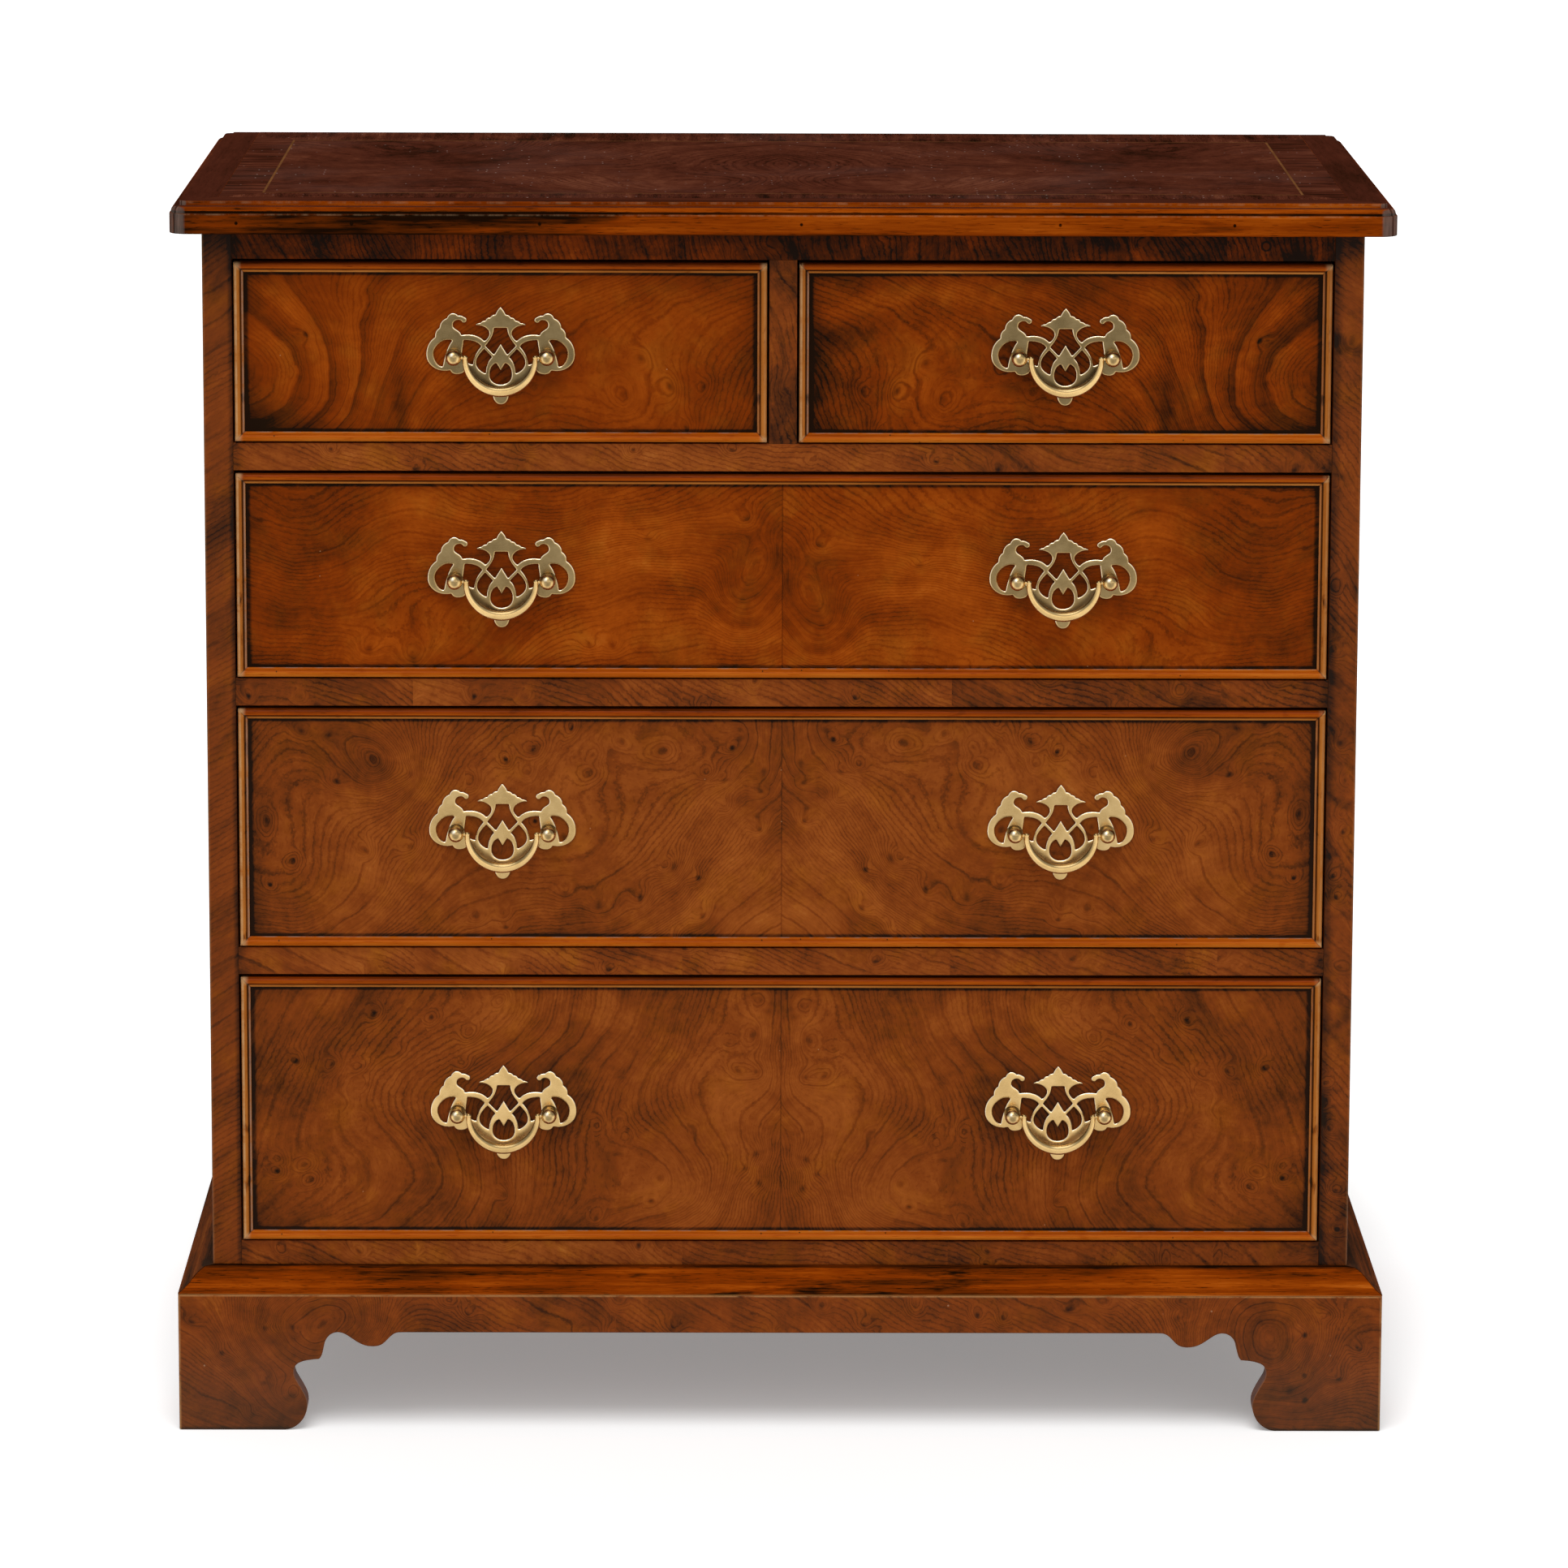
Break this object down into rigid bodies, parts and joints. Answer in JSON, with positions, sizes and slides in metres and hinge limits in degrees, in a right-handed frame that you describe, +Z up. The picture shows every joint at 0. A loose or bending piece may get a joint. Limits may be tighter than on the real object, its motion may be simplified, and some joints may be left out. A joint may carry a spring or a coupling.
{
  "type": "bachelors chest",
  "caption": "Low chest of drawers in burr veneer, with a moulded top, beaded short and long drawers, pierced brass bail handles and a scrolled bracket plinth.",
  "frame": {"origin": "on the floor, under the middle of the bounding box", "axes": "+X to the right as seen from the front, +Y to the back, +Z up; the drawers open towards -Y"},
  "size_m": [0.836, 0.482, 0.857],
  "materials": {
    "burr_veneer": "polished burr veneer, satin to gloss",
    "moulding_walnut": "polished straight-grained walnut, worn arrises",
    "crossbanded_walnut": "polished veneer with the grain across the rail",
    "boxwood": "polished inlay, flush",
    "oak_lining": "waxed bare oak",
    "pine": "bare aged pine",
    "brass": "polished cast brass"
  },
  "bodies": {
    "carcase": {"top_panel": "burr_veneer", "top_edging": "moulding_walnut", "top_stringing": "boxwood", "left_side": "burr_veneer", "right_side": "burr_veneer", "bottom_board": "crossbanded_walnut", "back_boards": "pine", "top_rail": "crossbanded_walnut", "drawer_rails": "crossbanded_walnut", "divider": "crossbanded_walnut", "runners": "pine", "drawer_stops": "pine", "base_frame": "moulding_walnut", "plinth_front": "burr_veneer", "plinth_sides": "burr_veneer", "rear_foot_brackets": "pine", "corner_blocks": "pine"},
    "upper_left_drawer": {"upper_left_drawer_front": "burr_veneer", "upper_left_drawer_beading": "moulding_walnut", "upper_left_drawer_sides": "oak_lining", "upper_left_drawer_back": "oak_lining", "upper_left_drawer_bottom": "oak_lining", "upper_left_drawer_handle_plates": "brass", "upper_left_drawer_handle_posts": "brass"},
    "upper_left_drawer_bail": {"upper_left_drawer_bail": "brass"},
    "upper_right_drawer": {"upper_right_drawer_front": "burr_veneer", "upper_right_drawer_beading": "moulding_walnut", "upper_right_drawer_sides": "oak_lining", "upper_right_drawer_back": "oak_lining", "upper_right_drawer_bottom": "oak_lining", "upper_right_drawer_handle_plates": "brass", "upper_right_drawer_handle_posts": "brass"},
    "upper_right_drawer_bail": {"upper_right_drawer_bail": "brass"},
    "upper_drawer": {"upper_drawer_front": "burr_veneer", "upper_drawer_beading": "moulding_walnut", "upper_drawer_sides": "oak_lining", "upper_drawer_back": "oak_lining", "upper_drawer_bottom": "oak_lining", "upper_drawer_handle_plates": "brass", "upper_drawer_handle_posts": "brass"},
    "upper_drawer_left_bail": {"upper_drawer_left_bail": "brass"},
    "upper_drawer_right_bail": {"upper_drawer_right_bail": "brass"},
    "middle_drawer": {"middle_drawer_front": "burr_veneer", "middle_drawer_beading": "moulding_walnut", "middle_drawer_sides": "oak_lining", "middle_drawer_back": "oak_lining", "middle_drawer_bottom": "oak_lining", "middle_drawer_handle_plates": "brass", "middle_drawer_handle_posts": "brass"},
    "middle_drawer_left_bail": {"middle_drawer_left_bail": "brass"},
    "middle_drawer_right_bail": {"middle_drawer_right_bail": "brass"},
    "lower_drawer": {"lower_drawer_front": "burr_veneer", "lower_drawer_beading": "moulding_walnut", "lower_drawer_sides": "oak_lining", "lower_drawer_back": "oak_lining", "lower_drawer_bottom": "oak_lining", "lower_drawer_handle_plates": "brass", "lower_drawer_handle_posts": "brass"},
    "lower_drawer_left_bail": {"lower_drawer_left_bail": "brass"},
    "lower_drawer_right_bail": {"lower_drawer_right_bail": "brass"}
  },
  "joints": [
    {"name": "upper_left_drawer_slide", "type": "slide", "parent": "carcase", "child": "upper_left_drawer", "axis": [0, -1, 0], "range_m": [0, 0.34]},
    {"name": "upper_left_drawer_bail_hinge", "type": "hinge", "parent": "upper_left_drawer", "child": "upper_left_drawer_bail", "pos_m": [-0.19225, -0.2315, 0.7504], "axis": [-1, 0, 0], "range_deg": [-17, 150]},
    {"name": "upper_right_drawer_slide", "type": "slide", "parent": "carcase", "child": "upper_right_drawer", "axis": [0, -1, 0], "range_m": [0, 0.34]},
    {"name": "upper_right_drawer_bail_hinge", "type": "hinge", "parent": "upper_right_drawer", "child": "upper_right_drawer_bail", "pos_m": [0.19225, -0.2315, 0.7504], "axis": [-1, 0, 0], "range_deg": [-17, 150]},
    {"name": "upper_drawer_slide", "type": "slide", "parent": "carcase", "child": "upper_drawer", "axis": [0, -1, 0], "range_m": [0, 0.34]},
    {"name": "upper_drawer_left_bail_hinge", "type": "hinge", "parent": "upper_drawer", "child": "upper_drawer_left_bail", "pos_m": [-0.19225, -0.2315, 0.5964], "axis": [-1, 0, 0], "range_deg": [-17, 150]},
    {"name": "upper_drawer_right_bail_hinge", "type": "hinge", "parent": "upper_drawer", "child": "upper_drawer_right_bail", "pos_m": [0.19225, -0.2315, 0.5964], "axis": [-1, 0, 0], "range_deg": [-17, 150]},
    {"name": "middle_drawer_slide", "type": "slide", "parent": "carcase", "child": "middle_drawer", "axis": [0, -1, 0], "range_m": [0, 0.34]},
    {"name": "middle_drawer_left_bail_hinge", "type": "hinge", "parent": "middle_drawer", "child": "middle_drawer_left_bail", "pos_m": [-0.19225, -0.2315, 0.42065], "axis": [-1, 0, 0], "range_deg": [-17, 150]},
    {"name": "middle_drawer_right_bail_hinge", "type": "hinge", "parent": "middle_drawer", "child": "middle_drawer_right_bail", "pos_m": [0.19225, -0.2315, 0.42065], "axis": [-1, 0, 0], "range_deg": [-17, 150]},
    {"name": "lower_drawer_slide", "type": "slide", "parent": "carcase", "child": "lower_drawer", "axis": [0, -1, 0], "range_m": [0, 0.34]},
    {"name": "lower_drawer_left_bail_hinge", "type": "hinge", "parent": "lower_drawer", "child": "lower_drawer_left_bail", "pos_m": [-0.19225, -0.2315, 0.22215], "axis": [-1, 0, 0], "range_deg": [-17, 150]},
    {"name": "lower_drawer_right_bail_hinge", "type": "hinge", "parent": "lower_drawer", "child": "lower_drawer_right_bail", "pos_m": [0.19225, -0.2315, 0.22215], "axis": [-1, 0, 0], "range_deg": [-17, 150]}
  ]
}
